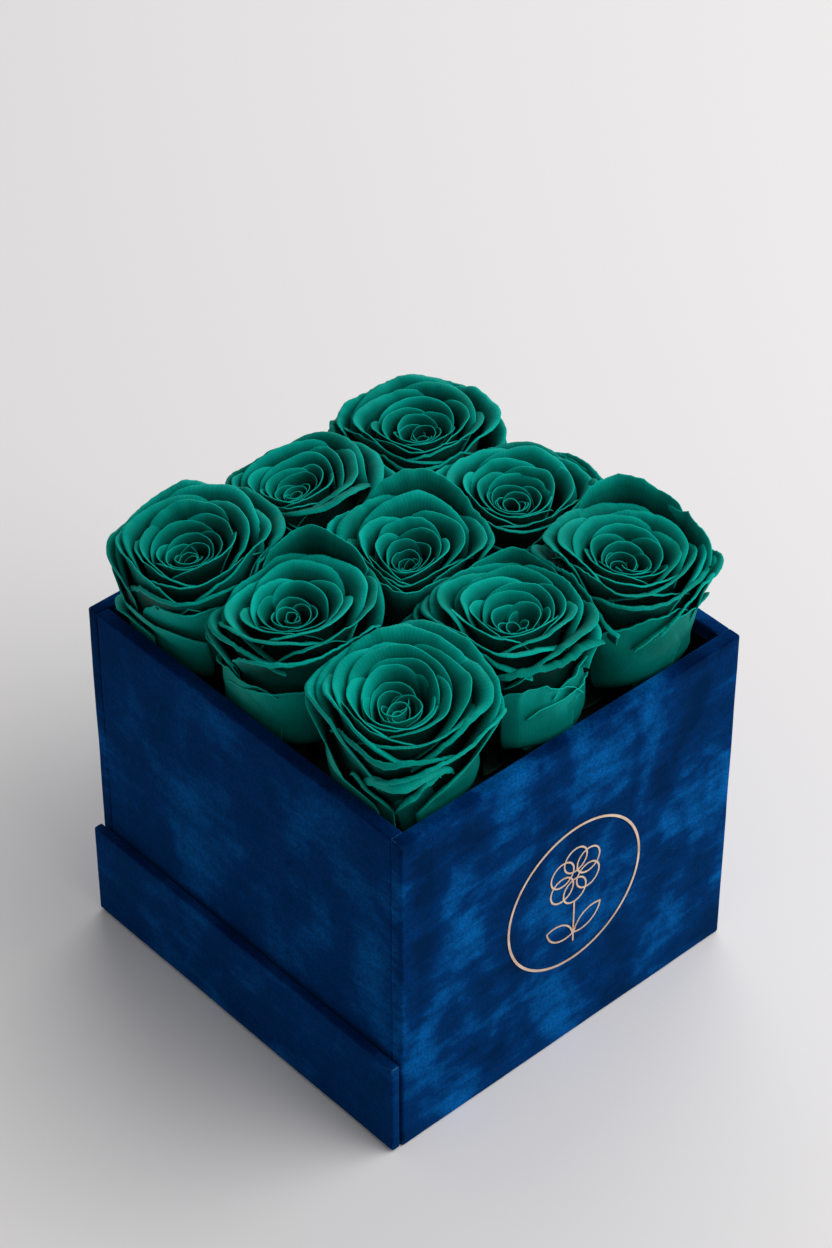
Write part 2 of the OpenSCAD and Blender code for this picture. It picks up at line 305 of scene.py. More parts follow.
def foam_material():
    """Dry floral foam: fine open pores."""
    material, tree, shader = new_material("foam")
    pores = add(tree, "ShaderNodeTexVoronoi", in_Scale=1100)
    tree.links.new(object_place(tree), pores.inputs["Vector"])
    crumb = noise(tree, object_place(tree), 300, 4, 0.6)
    depth = maths(tree, "MULTIPLY", pores.outputs["Distance"], crumb)
    colour = ramp(tree, depth, ((0.1, (0.002, 0.003, 0.003)), (0.5, (0.012, 0.015, 0.015))))
    tree.links.new(colour, shader.inputs["Base Color"])
    shader.inputs["Roughness"].default_value = 0.95
    tree.links.new(bump(tree, depth, 0.0008, 0.8), shader.inputs["Normal"])
    return material


def make_materials():
    """Every material, by the finish it is for."""
    return {
        "velvet": velvet_material("velvet"),
        "pad": velvet_material("pad_velvet", turn=0.9, worn=False),
        "tray_velvet": velvet_material("tray_velvet", turn=0.2, worn=False),
        "felt": paper_material("felt", (0.006, 0.006, 0.009), (0.03, 0.03, 0.04), 0.95),
        "board": paper_material("board", (0.26, 0.235, 0.2), (0.42, 0.39, 0.34)),
        "tray_board": paper_material("tray_board", (0.012, 0.013, 0.018), (0.03, 0.032, 0.04)),
        "black_paper": paper_material("black_paper", (0.004, 0.004, 0.006), (0.014, 0.015, 0.019)),
        "foam": foam_material(),
        "gilt_foil": foil_material(),
        "petal": petal_material(),
        "sepal": sepal_material(),
        "stem": stem_material(),
    }


# ---------------------------------------------------------------- mesh helpers

def mesh_piece(name, points, quads, material, uv=None, values=None):
    """A smooth-shaded mesh from numpy arrays: points (n, 3), quads (m, 4), uv (n, 2), values per point."""
    mesh = bpy.data.meshes.new(name)
    mesh.vertices.add(len(points))
    mesh.vertices.foreach_set("co", np.asarray(points, np.float32).ravel())
    mesh.loops.add(len(quads) * 4)
    mesh.loops.foreach_set("vertex_index", np.asarray(quads, np.int32).ravel())
    mesh.polygons.add(len(quads))
    mesh.polygons.foreach_set("loop_start", np.arange(len(quads), dtype=np.int32) * 4)
    mesh.polygons.foreach_set("use_smooth", np.ones(len(quads), bool))
    if uv is not None:
        layer = mesh.uv_layers.new(name="petal")
        layer.data.foreach_set("uv", np.asarray(uv, np.float32)[np.asarray(quads).ravel()].ravel())
    for key, value in (values or {}).items():
        data = mesh.attributes.new(key, "FLOAT", "POINT")
        data.data.foreach_set("value", np.asarray(value, np.float32))
    mesh.update(calc_edges=True)
    mesh.validate()
    mesh.materials.append(material)
    piece = bpy.data.objects.new(name, mesh)
    bpy.context.scene.collection.objects.link(piece)
    return piece


def finished(piece):
    """Turns a piece with modifiers into a plain mesh, with the modifiers removed."""
    graph = bpy.context.evaluated_depsgraph_get()
    mesh = bpy.data.meshes.new_from_object(piece.evaluated_get(graph), depsgraph=graph)
    piece.modifiers.clear()
    old = piece.data
    piece.data = mesh
    bpy.data.meshes.remove(old)
    mesh.name = piece.name
    return piece


def hand_over(piece, body, slot, *nodes):
    """Rides a finished piece on its body and hides the plain solids it stands for. The slot is not used."""
    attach(piece, body)
    if nodes:
        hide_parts(*nodes)


class Ripple:
    """Smooth repeatable unevenness: a sum of plane waves in fixed random directions."""

    def __init__(self, seed, length, waves=9):
        rng = np.random.default_rng(seed)
        self.way = rng.normal(size=(waves, 3))
        self.way /= np.linalg.norm(self.way, axis=1)[:, None]
        self.way *= (2 * math.pi / length) * rng.uniform(0.6, 1.5, size=(waves, 1))
        self.phase = rng.uniform(0, 2 * math.pi, waves)

    def __call__(self, points):
        return np.sin(np.asarray(points) @ self.way.T + self.phase).mean(axis=-1) * 1.6


# ---------------------------------------------------------------- velvet covers

# Radii of the folded edges, on the walls, on the drawer front and on the flat strips
EDGE_ROUND = 0.0011
DRAWER_EDGE_ROUND = 0.0009
STRIP_ROUND = 0.00035
# Thickness of the velvet, the depth of its slight dips, and the flat margin round the foil
VELVET = 0.0008
DIP = 0.0002
FLAT_MARGIN = 0.004
# Widest spacing of the points on a cover
GRID_STEP = 0.004
# How far from an edge, and how far from a corner, the velvet is worn
EDGE_WEAR = 0.0012
CORNER_WEAR = 0.006
# How strongly the pile is brushed both ways on the front, the back and the drawer. The side walls have 1.
END_STROKES = 0.45
COVER_SEEDS = {"left": 2, "right": 4, "front": 10, "back": 12, "drawer": 23}


def grid_lines(low, high, cuts=(), radius=EDGE_ROUND):
    """Lines across a face: close together on the rounded edges, and one at each cut."""
    bend = [radius * (1 - math.tan(math.pi / 4 * k / 4)) for k in range(5)]
    edges = [low + b for b in bend] + [high - b for b in bend]
    inner = [c for c in cuts if low + radius < c < high - radius]
    stops = [low + radius, *sorted(inner), high - radius]
    lines = edges + inner
    for a, b in zip(stops, stops[1:]):
        lines += list(np.linspace(a, b, max(2, round((b - a) / GRID_STEP) + 1)))
    return np.unique(np.round(lines, 7))


def rounded_block(low, high, cuts, radius=EDGE_ROUND):
    """The surface of a block with rounded edges, as points, outward directions and quads."""
    lines = [grid_lines(low[i], high[i], cuts[i], radius) for i in range(3)]
    index, points, quads = {}, [], []

    def point(key):
        if key not in index:
            index[key] = len(points)
            points.append([lines[i][key[i]] for i in range(3)])
        return index[key]

    for axis in range(3):
        u, v = (axis + 1) % 3, (axis + 2) % 3
        for side in (0, len(lines[axis]) - 1):
            for i in range(len(lines[u]) - 1):
                for j in range(len(lines[v]) - 1):
                    ring = []
                    for a, b in ((i, j), (i + 1, j), (i + 1, j + 1), (i, j + 1)):
                        key = [0, 0, 0]
                        key[axis], key[u], key[v] = side, a, b
                        ring.append(point(tuple(key)))
                    quads.append(ring if side else ring[::-1])
    points = np.array(points)
    core = np.clip(points, np.array(low) + radius, np.array(high) - radius)
    out = points - core
    out /= np.linalg.norm(out, axis=1)[:, None]
    return core + out * radius, out, np.array(quads)


def velvet_cover(side, box, cuts, is_open, material, calm=None, radius=EDGE_ROUND, stroked=1.0):
    """Velvet wrapped round a board: a thin shell with rounded folds, open where is_open says.

    calm says where the dips are held back, and stroked is how much the pile has been brushed
    both ways, which makes its patches.
    """
    low, high = box
    seed = COVER_SEEDS[side]
    points, out, quads = rounded_block(low, high, cuts, radius)
    middle = points[quads].mean(axis=1)
    quads = quads[~is_open(middle)]
    used, where = np.unique(quads, return_inverse=True)
    points, out, quads = points[used], out[used], where.reshape(quads.shape)
    broad = 0.5 + 0.5 * Ripple(seed, 0.05)(points)
    small = 0.5 + 0.5 * Ripple(seed + 7, 0.013)(points)
    depth = (broad + small * 0.4) * DIP
    if calm is not None:
        depth *= calm(points)
    points = points - out * depth[:, None]
    near = [np.minimum(points[:, i] - low[i], high[i] - points[:, i]) for i in range(3)]
    second, third = np.sort(np.array(near), axis=0)[1:]
    corner = np.clip(1 - third / CORNER_WEAR, 0, 1)
    worn = np.clip(1 - second / EDGE_WEAR, 0, 1) * (0.55 + 0.45 * corner)
    name = "drawer_front_cover" if side == "drawer" else side + "_wall_cover"
    piece = mesh_piece(name, points, quads, material,
                       values={"worn": worn, "stroked": np.full(len(points), stroked)})
    shell = piece.modifiers.new("thickness", "SOLIDIFY")
    shell.thickness = VELVET * 0.95
    shell.offset = -1
    shell.use_even_offset = True
    return finished(piece)


def mouth_strip(side, wall_low, wall_high, inner_face, velvet):
    """The flat strip of velvet that lines one cheek of the drawer's mouth."""
    cheek = sorted((inner_face, wall_high[0] if side == "left" else wall_low[0]))
    low = [cheek[0], wall_low[1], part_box("base_felt")[1][2]]
    high = [cheek[1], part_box("front_wall_board")[1][1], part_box("front_wall_velvet")[0][2]]
    points, _, quads = rounded_block(low, high, ([], [], []), STRIP_ROUND)
    piece = mesh_piece(side + "_mouth_strip", points, quads, velvet, values={"stroked": np.ones(len(points))})
    hand_over(piece, "box", "velvet", side + "_wall_velvet")


def side_cover(side, sign, velvet):
    """The cover of a side wall, with its lip inside the rim, and the strip at the drawer's mouth."""
    node = side + "_wall_velvet"
    low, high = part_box(node)
    board_low, board_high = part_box(side + "_wall_board")
    inner_face = board_high[0] if sign < 0 else board_low[0]
    lip_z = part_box("compartment_lining")[1][2]
    ring_low, ring_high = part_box("foil_ring")
    ring_y, ring_z = (ring_low[1] + ring_high[1]) / 2, (ring_low[2] + ring_high[2]) / 2
    ring_r = (ring_high[2] - ring_low[2]) / 2 + FLAT_MARGIN

    def is_open(p):
        from_ends = np.minimum(p[:, 1] - low[1], high[1] - p[:, 1])
        return (sign * (p[:, 0] - inner_face) < -1e-6) & (p[:, 2] < lip_z) & (from_ends > EDGE_ROUND)

    def calm(p):
        away = np.hypot(p[:, 1] - ring_y, p[:, 2] - ring_z) / ring_r
        return np.clip(away * 1.5 - 0.9, 0.1, 1) if sign > 0 else np.ones(len(p))

    cover = velvet_cover(side, (low, high), ([inner_face], [], [lip_z]), is_open, velvet, calm)
    hand_over(cover, "box", "velvet", node)
    mouth_strip(side, low, high, inner_face, velvet)


def end_cover(side, sign, velvet):
    """The cover of the front or back wall, with its lip inside the rim."""
    node = side + "_wall_velvet"
    low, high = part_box(node)
    board_low, board_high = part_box(side + "_wall_board")
    inner_face = board_high[1] if sign < 0 else board_low[1]
    lip_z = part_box("compartment_lining")[1][2]

    def is_open(p):
        return (sign * (p[:, 1] - inner_face) < -1e-6) & (p[:, 2] < lip_z)

    cover = velvet_cover(side, (low, high), ([], [inner_face], [lip_z]), is_open, velvet, stroked=END_STROKES)
    hand_over(cover, "box", "velvet", node)


def drawer_cover(velvet):
    """The cover of the drawer front, open behind where the tray is fixed to its board."""
    low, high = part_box("drawer_front_velvet")
    tray_low, tray_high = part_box("drawer_inner_front")
    left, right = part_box("drawer_left_side")[0][0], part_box("drawer_right_side")[1][0]

    def is_open(p):
        across = (p[:, 0] > left) & (p[:, 0] < right)
        return (p[:, 1] > high[1] - 1e-5) & across & (p[:, 2] > tray_low[2]) & (p[:, 2] < tray_high[2])

    cuts = ([left, right], [], [tray_low[2], tray_high[2]])
    cover = velvet_cover("drawer", (low, high), cuts, is_open, velvet, radius=DRAWER_EDGE_ROUND,
                         stroked=END_STROKES)
    hand_over(cover, "drawer", "velvet", "drawer_front_velvet")


def make_velvet(velvet):
    """All the velvet covers."""
    for side, sign in (("left", -1), ("right", 1)):
        side_cover(side, sign, velvet)
    for side, sign in (("front", -1), ("back", 1)):
        end_cover(side, sign, velvet)
    drawer_cover(velvet)


# ---------------------------------------------------------------- drawer pad

PAD_STEPS = 60
# How far the middles of the pad's sides are pulled in
PAD_PULL = 0.0014
# Height of the seam as a share of the pad's thickness, and the room left for creases over the crown
PAD_SEAM = 0.4
PAD_CREASE = 0.0003


def make_pad(material):
    """Thin soft pad: crowned, sewn shut round its edge, and pulled in between its corners."""
    low, high = (np.array(v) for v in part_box("drawer_pad"))
    # The points are closest together at the edges, where the pad bends most.
    line = np.sin(np.linspace(-1, 1, PAD_STEPS + 1) * math.pi / 2)
    u, v = (a.ravel() for a in np.meshgrid(line, line, indexing="ij"))
    half = (high - low) / 2
    centre = (high + low) / 2
    x = centre[0] + u * half[0] * (1 - PAD_PULL / half[0] * (1 - v**2) * u**2)
    y = centre[1] + v * half[1] * (1 - PAD_PULL / half[1] * (1 - u**2) * v**2)
    puff = ((1 - u**4) * (1 - v**4)) ** 0.45
    seam_z = low[2] + (high[2] - low[2]) * PAD_SEAM
    gather = np.exp(-(1 - np.maximum(np.abs(u), np.abs(v))) / 0.09)
    flat = np.stack([x, y, 0 * x], axis=1)
    crinkle = Ripple(41, 0.012)(flat) * PAD_CREASE * gather + Ripple(42, 0.05)(flat) * PAD_CREASE * 2 / 3
    top = seam_z + (high[2] - seam_z - PAD_CREASE + crinkle) * puff
    under = seam_z + (low[2] - seam_z) * np.minimum(1, puff * 1.6)
    number = np.arange((PAD_STEPS + 1) ** 2).reshape(PAD_STEPS + 1, -1)
    quads = np.stack([number[:-1, :-1], number[1:, :-1], number[1:, 1:], number[:-1, 1:]], axis=-1)
    quads = quads.reshape(-1, 4)
    edge = (np.abs(u) == 1) | (np.abs(v) == 1)
    lower = np.where(edge, number.ravel(), number.ravel() + len(u))
    points = np.concatenate([np.stack([x, y, top], axis=1), np.stack([x, y, under], axis=1)])
    quads = np.concatenate([quads, lower[quads][:, ::-1]])
    used, where = np.unique(quads, return_inverse=True)
    piece = mesh_piece("drawer_soft_pad", points[used], where.reshape(quads.shape), material)
    hand_over(piece, "drawer", "pad", "drawer_pad")


# ---------------------------------------------------------------- calyxes

SEPAL_COUNT = 5
# How far the sepals stand above the foam, how far outside the stem they start, how much wider than the
# stem the hip's foot is, and the thickness of a sepal as a share of its length
SEPAL_LIFT = 0.0014
SEPAL_ROOT = 0.0012
HIP_FOOT = 0.0006
SEPAL_THICKNESS = 0.035


def sepal_blade(material):
    """One sepal along +X from the origin, 1 long: folded along its rib and drooping to its tip."""
    t = np.linspace(0, 1, 9)[:, None]
    s = np.linspace(-1, 1, 5)[None, :]
    half = 0.24 * np.sin(math.pi * np.clip(t * 0.86 + 0.14, 0, 1)) ** 0.8 + 0 * s
    z = 0.1 * np.sin(t * math.pi) + 0.05 * np.abs(s) * (1 - t)
    grid = np.stack([t + 0 * s, s * half, z + 0 * s], axis=-1)
    points, quads = petal_shell(grid, SEPAL_THICKNESS)[:2]
    return mesh_piece("sepal_blade", points, quads, material)


def calyx_tree():
    """Geometry Nodes: sepals spread round a hip, which is the geometry that comes in.

    Blade is one sepal, Count how many, Reach their length, Root the radius they start at, Place the
    middle of their ring, Seed the unevenness of their lie, and Finish the material of them all.
    """
    tree = bpy.data.node_groups.new("sepals_round_a_hip", "GeometryNodeTree")
    face = tree.interface
    face.new_socket("Geometry", in_out="INPUT", socket_type="NodeSocketGeometry")
    for name, kind in (("Blade", "Object"), ("Count", "Int"), ("Reach", "Float"), ("Root", "Float"),
                       ("Place", "Vector"), ("Seed", "Int"), ("Finish", "Material")):
        face.new_socket(name, in_out="INPUT", socket_type="NodeSocket" + kind)
    face.new_socket("Geometry", in_out="OUTPUT", socket_type="NodeSocketGeometry")
    start = tree.nodes.new("NodeGroupInput")
    end = tree.nodes.new("NodeGroupOutput")
    link = tree.links.new

    ring = add(tree, "GeometryNodeMeshCircle")
    link(start.outputs["Count"], ring.inputs["Vertices"])
    link(start.outputs["Root"], ring.inputs["Radius"])
    moved = add(tree, "GeometryNodeSetPosition")
    link(ring.outputs["Mesh"], moved.inputs["Geometry"])
    link(start.outputs["Place"], moved.inputs["Offset"])

    blade = add(tree, "GeometryNodeObjectInfo")
    link(start.outputs["Blade"], blade.inputs["Object"])
    number = add(tree, "GeometryNodeInputIndex")
    share = maths(tree, "DIVIDE", number.outputs[0], start.outputs["Count"])
    way = maths(tree, "MULTIPLY", share, 2 * math.pi)
    wander = add(tree, "FunctionNodeRandomValue", data_type="FLOAT_VECTOR")
    wander.inputs["Min"].default_value = (-0.12, -0.12, -0.14)
    wander.inputs["Max"].default_value = (0.12, 0.06, 0.14)
    link(start.outputs["Seed"], wander.inputs["Seed"])
    turn = add(tree, "ShaderNodeCombineXYZ")
    link(way, turn.inputs["Z"])
    turned = add(tree, "ShaderNodeVectorMath", operation="ADD")
    link(turn.outputs[0], turned.inputs[0])
    link(wander.outputs["Value"], turned.inputs[1])
    sepals = add(tree, "GeometryNodeInstanceOnPoints")
    link(moved.outputs["Geometry"], sepals.inputs["Points"])
    link(blade.outputs["Geometry"], sepals.inputs["Instance"])
    link(turned.outputs[0], sepals.inputs["Rotation"])
    link(start.outputs["Reach"], sepals.inputs["Scale"])

    both = add(tree, "GeometryNodeJoinGeometry")
    link(sepals.outputs["Instances"], both.inputs["Geometry"])
    link(start.outputs["Geometry"], both.inputs["Geometry"])
    real = add(tree, "GeometryNodeRealizeInstances")
    link(both.outputs["Geometry"], real.inputs["Geometry"])
    finish = add(tree, "GeometryNodeSetMaterial")
    link(real.outputs["Geometry"], finish.inputs["Geometry"])
    link(start.outputs["Finish"], finish.inputs["Material"])
    link(finish.outputs["Geometry"], end.inputs["Geometry"])
    return tree


def hip(name, centre, radius, low_z, high_z, foot_r, material):
    """The hip under a rose head: turned round the stem, a little ribbed, and closed at both ends."""
    t = np.linspace(0, 1, 14)[:, None]
    a = np.linspace(0, 2 * math.pi, 40, endpoint=False)[None, :]
    r = foot_r + (radius - foot_r) * np.sin(t * math.pi / 2) ** 0.8
    r = r * (1 + 0.03 * np.cos(5 * a)) * (1 - 0.12 * np.clip(t * 6 - 5, 0, 1))
    z = low_z + (high_z - low_z) * t + 0 * a
    points = np.stack([centre[0] + r * np.cos(a), centre[1] + r * np.sin(a), z], axis=-1).reshape(-1, 3)
    number = np.arange(t.size * a.size).reshape(t.size, a.size)
    following = np.roll(number, -1, axis=1)
    quads = np.stack([number[:-1], following[:-1], following[1:], number[1:]], axis=-1).reshape(-1, 4)
    ends = [[centre[0], centre[1], low_z], [centre[0], centre[1], high_z]]
    foot, top = len(points), len(points) + 1
    caps = [(following[0, k], number[0, k], foot) for k in range(a.size)]
    caps += [(number[-1, k], following[-1, k], top) for k in range(a.size)]
    mesh = bpy.data.meshes.new(name)
    mesh.from_pydata(np.concatenate([points, ends]).tolist(), [], quads.tolist() + caps)
    mesh.polygons.foreach_set("use_smooth", np.ones(len(mesh.polygons), bool))
    mesh.materials.append(material)
    piece = bpy.data.objects.new(name, mesh)
    bpy.context.scene.collection.objects.link(piece)
    return piece


def make_calyx(name, tree, blade, material):
    """Hip and sepals of one rose, just above the foam."""
    low, high = (np.array(v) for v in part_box(f"rose_{name}_calyx"))
    stem_low, stem_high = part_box(f"rose_{name}_stem")
    centre = ((stem_low[0] + stem_high[0]) / 2, (stem_low[1] + stem_high[1]) / 2)
    stem_r = (stem_high[0] - stem_low[0]) / 2
    reach = (high[1] - low[1]) / 2
    root = stem_r + SEPAL_ROOT
    piece = hip(f"rose_{name}_hip", centre, reach * 0.4, low[2], high[2], stem_r + HIP_FOOT, material)
    ring = piece.modifiers.new("sepals", "NODES")
    ring.node_group = tree
    values = {"Blade": blade, "Count": SEPAL_COUNT, "Reach": reach - root, "Root": root,
              "Place": (*centre, low[2] + SEPAL_LIFT), "Seed": ROSES[name].seed, "Finish": material}
    for socket in tree.interface.items_tree:
        if socket.in_out == "INPUT" and socket.name in values:
            ring[socket.identifier] = values[socket.name]
    hand_over(finished(piece), "box", "sepal", f"rose_{name}_calyx")


# ---------------------------------------------------------------- roses

# How a rose head is built, from its heart (rank 0) to its outer petals (rank 1), in mm and degrees.
# Columns: rank, then the PETAL_SIZES in order. The flare is the rim's lean from upright, the wrap is
# half of the turn that a petal takes, and the drop is the share of its height lost at its sides.
PETAL_SIZES = ("belly", "rim_r", "rim_z", "flare", "lip", "wrap", "drop", "ragged")
PETAL_RANKS = np.array([
    (0.00, 2.8, 2.4, 41.5, -8, 0.3, 150, 0.06, 0.0),
    (0.12, 4.8, 5.8, 43.4, 8, 0.5, 128, 0.14, 0.0),
    (0.26, 7.8, 9.8, 46.2, 22, 0.9, 104, 0.20, 0.05),
    (0.42, 11.4, 14.2, 48.8, 38, 1.3, 88, 0.20, 0.1),
    (0.60, 15.8, 20.0, 50.6, 58, 1.8, 80, 0.20, 0.25),
    (0.76, 19.8, 26.0, 50.8, 72, 2.2, 74, 0.20, 0.45),
    (0.90, 23.0, 31.0, 49.2, 82, 2.6, 68, 0.18, 0.7),
    (1.00, 24.4, 34.0, 46.8, 90, 3.0, 62, 0.18, 0.9),
])
# Each petal has this many rows of points from foot to rim, and is turned this much from the one before.
PETAL_ROWS = 24
GOLDEN_TURN = math.radians(137.5)
PETAL_THICKNESS = 0.34
# Radius at which petals leave the hip, and height of the middle of the heart, which a head leans about
FOOT_R = 1.5
HEART_Z = 46.0
# How late a petal's rim starts to fall towards its sides
SHOULDER = 3.6
# Painted shade on the petals: how far under its rim a petal's painted shade is darkest, the radius of the
# painted shade in the middle of the heart, and how much of that painted shade a guard petal has
PAINTED_SHADE_DEPTH = 14.0
PAINTED_HOLLOW_R = 9.0
GUARD_SHADE = 0.35
# Ranks past which petals belong to the open part of the head, and then to its outside
OPEN_RANK = 0.32
OUTER_RANK = 0.78
# How squarely the head's own petals and the loose ones fill their cell
RING_SQUARENESS = 5
LOOSE_SQUARENESS = 11
# How far inside its cell the head's outermost petal stays, and each one inside the next
OUTER_INSET = 0.6
NEST_STEP = 0.5
LOOSE_STEP = 0.9
# How far petals spread past the walls above the rim, and over their neighbours towards the back and the
# right, and above what height in the head they do that
RIM_OVERHANG = 6.5
FAR_LAP = 4.0
FAR_LAP_Z = 32
# Room that the head leaves for its loose petals, up to this height
LOOSE_ROOM = 2.8
LOOSE_ROOM_TOP = 42
# Height over which each of those limits comes in
EASE = 10.0
# Width of a loose petal, the rim height past which it counts as tall, and the flare past which it is
# folded right over
LOOSE_BELLY = 26.5
TALL_RIM = 43
FOLDED_FLARE = 100
# The heads press each other sideways above the rim: how far, and over what height that comes in
SWAY = 2.6
SWAY_RISE = 16.0
SWAY_X, SWAY_Y = Ripple(901, 52, 7), Ripple(902, 52, 7)

# Per rose: seed, number of petals, turn of the first one in degrees, how far the heart leans from
# its cell's middle (x, y) in mm, how far apart the two lobes of the heart are, the head's lift, and how
# strong the painted shade under its petals' rims is.
Rose = namedtuple("Rose", "seed count first_turn lean lobes lift tightness")
ROSES = {
    "front_left": Rose(11, 26, 20, (-2.3, -7.1), 1.0, 0, 1.6),
    "front_centre": Rose(12, 24, 120, (-5.4, -2.4), 1.5, 0, 1.6),
    "front_right": Rose(13, 28, 250, (2.7, -6.5), 5.0, 0, 0.95),
    "middle_left": Rose(14, 25, 70, (-6.4, -3.6), 1.0, -3, 1.6),
    "middle_centre": Rose(15, 25, 300, (1.1, -2.6), 1.5, 0, 1.6),
    "middle_right": Rose(16, 27, 180, (-3.2, 2.5), 4.0, 0, 1.6),
    "back_left": Rose(17, 26, 50, (-1.2, -1.4), 1.0, -2, 1.6),
    "back_centre": Rose(18, 26, 155, (-0.9, 1.6), 1.0, -2, 1.6),
    "back_right": Rose(19, 28, 280, (1.6, 2.0), 3.0, 1, 1.6),
}
# Loose petals round a head: tall ones that stand at its back, wide ones in the corners of its cell, and
# guard petals that hang where nothing presses them, from the outermost inwards. Per petal: direction in
# degrees, rim height, reach, flare, half wrap, depth of its folds, length of its tip, and (when it
# isn't even) the slant of its rim.
LOOSE_PETALS = {
    "front_left": [
        (-122, 27, 30, 75, 30, 0.3, 8, 0.1), (-165, 39, 30, 50, 52, 0.3, 2, 0.1),
        (-80, 33, 27, 35, 50, 0.3, 1, -0.08), (45, 46, 33, 70, 40, 0.5, 3),
        (-45, 42, 30, 70, 40, 0.4, 2)],
    "front_centre": [
        (-104, 33, 27, 35, 46, 0.3, 2), (-60, 30, 27, 40, 50, 0.4, 1),
        (-138, 41, 30, 60, 44, 0.4, 2), (118, 56, 31, 42, 46, 0.3, 2)],
    "front_right": [
        (-112, 37, 33, 60, 50, 0.3, 2, -0.3), (20, 36, 33, 70, 48, 0.3, 2, 0.3),
        (-66, 32, 30, 95, 19, 0.3, 1, -0.2), (-22, 33, 30, 95, 19, 0.3, 1, 0.2),
        (-42, 39, 30, 118, 38, 0.2, 1)],
    "middle_left": [
        (-172, 39, 30, 60, 50, 0.4, 3, 0.08), (-150, 42, 33, 60, 48, 0.5, 4),
        (-100, 36, 27, 50, 40, 0.4, 1), (45, 44, 33, 75, 38, 0.5, 3)],
    "middle_centre": [
        (128, 54, 31, 42, 52, 0.3, 1), (-140, 45, 33, 70, 42, 0.4, 3)],
    "middle_right": [
        (-24, 33, 28, 35, 32, 0.9, 3, -0.1), (24, 37, 28, 45, 36, 0.8, 2, 0.1),
        (0, 27, 27, 40, 40, 0.5, 2), (140, 53, 31, 45, 54, 0.3, 1),
        (60, 46, 32, 80, 40, 0.5, 3)],
    "back_left": [
        (140, 44, 34, 75, 46, 0.6, 3), (95, 42, 34, 80, 44, 0.6, 3),
        (-150, 42, 33, 80, 44, 0.5, 3)],
    "back_centre": [
        (75, 48, 33, 70, 44, 0.6, 4), (120, 44, 33, 75, 44, 0.5, 3)],
    "back_right": [
        (-28, 40, 27, 45, 40, 1.0, 1, 0.1), (10, 38, 29, 60, 44, 0.5, 3),
        (50, 47, 38, 75, 36, 0.6, 6), (130, 56, 31, 42, 50, 0.4, 1),
        (84, 54, 34, 55, 44, 0.6, 3)],
}


def hermite(a, b, leave, arrive, steps=24):
    """A smooth curve from a to b, with the directions and strengths at its ends."""
    f = np.linspace(0, 1, steps)[:, None]
    return ((2 * f**3 - 3 * f**2 + 1) * a + (f**3 - 2 * f**2 + f) * leave
            + (-2 * f**3 + 3 * f**2) * b + (f**3 - f**2) * arrive)


def petal_profile(form):
    """A petal's section from foot to rim as (radius, height), with its rows closest at the rim."""
    foot = np.array([FOOT_R, 0.0])
    waist = np.array([form["belly"], form["rim_z"] * form["waist"]])
    rim = np.array([form["rim_r"], form["rim_z"]])
    flare = math.radians(form["flare"])
    way = np.array([math.sin(flare), math.cos(flare)])
    rise = np.linalg.norm(rim - waist)
    lower = hermite(foot, waist, waist * (1.3, 0.4), waist * (0.0, 1.1))
    upper = hermite(waist, rim, np.array([0.0, rise * 1.5]), way * rise * 0.75)
    bends = flare + np.linspace(0, 1, 8) * math.radians(40)
    curl = rim + np.cumsum(np.stack([np.sin(bends), np.cos(bends)], axis=1) * form["lip"] / 8, axis=0)
    line = np.concatenate([lower[:-1], upper, curl])
    run = np.concatenate([[0], np.cumsum(np.linalg.norm(np.diff(line, axis=0), axis=1))])
    at = (1 - (1 - np.linspace(0, 1, PETAL_ROWS)) ** 1.5) * run[-1]
    return np.stack([np.interp(at, run, line[:, i]) for i in range(2)], axis=1), at / run[-1]


def ring_petal(rng, rank, free):
    """Sizes of a petal of the head itself. A petal that nothing presses opens further."""
    form = {key: float(np.interp(rank, PETAL_RANKS[:, 0], PETAL_RANKS[:, 1 + k]))
            for k, key in enumerate(PETAL_SIZES)}
    outer = form["ragged"]
    fall = free * outer
    form["rim_z"] += rng.normal(0, 0.4 + 0.7 * outer) - 1.5 * fall
    form["rim_r"] += rng.normal(0, 0.3 + 0.9 * outer)
    form["flare"] += rng.normal(0, 5 + 7 * outer) + 8 * fall
    form["lip"] *= rng.uniform(0.7, 1.3)
    form["wrap"] *= rng.uniform(0.9, 1.12)
    form["drop"] *= rng.uniform(0.8, 1.25)
    form["tip"] = rng.uniform(0.2, 1.0) * (0.6 + 2.8 * outer)
    form["fold"] = 0.1 + rng.uniform(0.1, 0.8) * outer
    form["waist"] = 0.5
    form["slant"] = 0
    form["tuck"] = 0.4 + 2.6 * rank * (1.1 - rank)
    return form


def loose_petal(rng, inset, rim_z, reach, flare, wrap, fold, tip, slant=0):
    """Sizes of a loose petal that stays inset from the edge of its cell."""
    return {"belly": LOOSE_BELLY - inset, "rim_r": reach, "rim_z": rim_z, "flare": flare,
            "lip": 2.2 if flare < FOLDED_FLARE else 4.0, "wrap": wrap, "drop": rng.uniform(0.12, 0.22),
            "ragged": 0.36, "slant": slant, "tuck": 1.5, "tip": tip, "fold": fold,
            "waist": 0.5 if rim_z > TALL_RIM else 0.4}


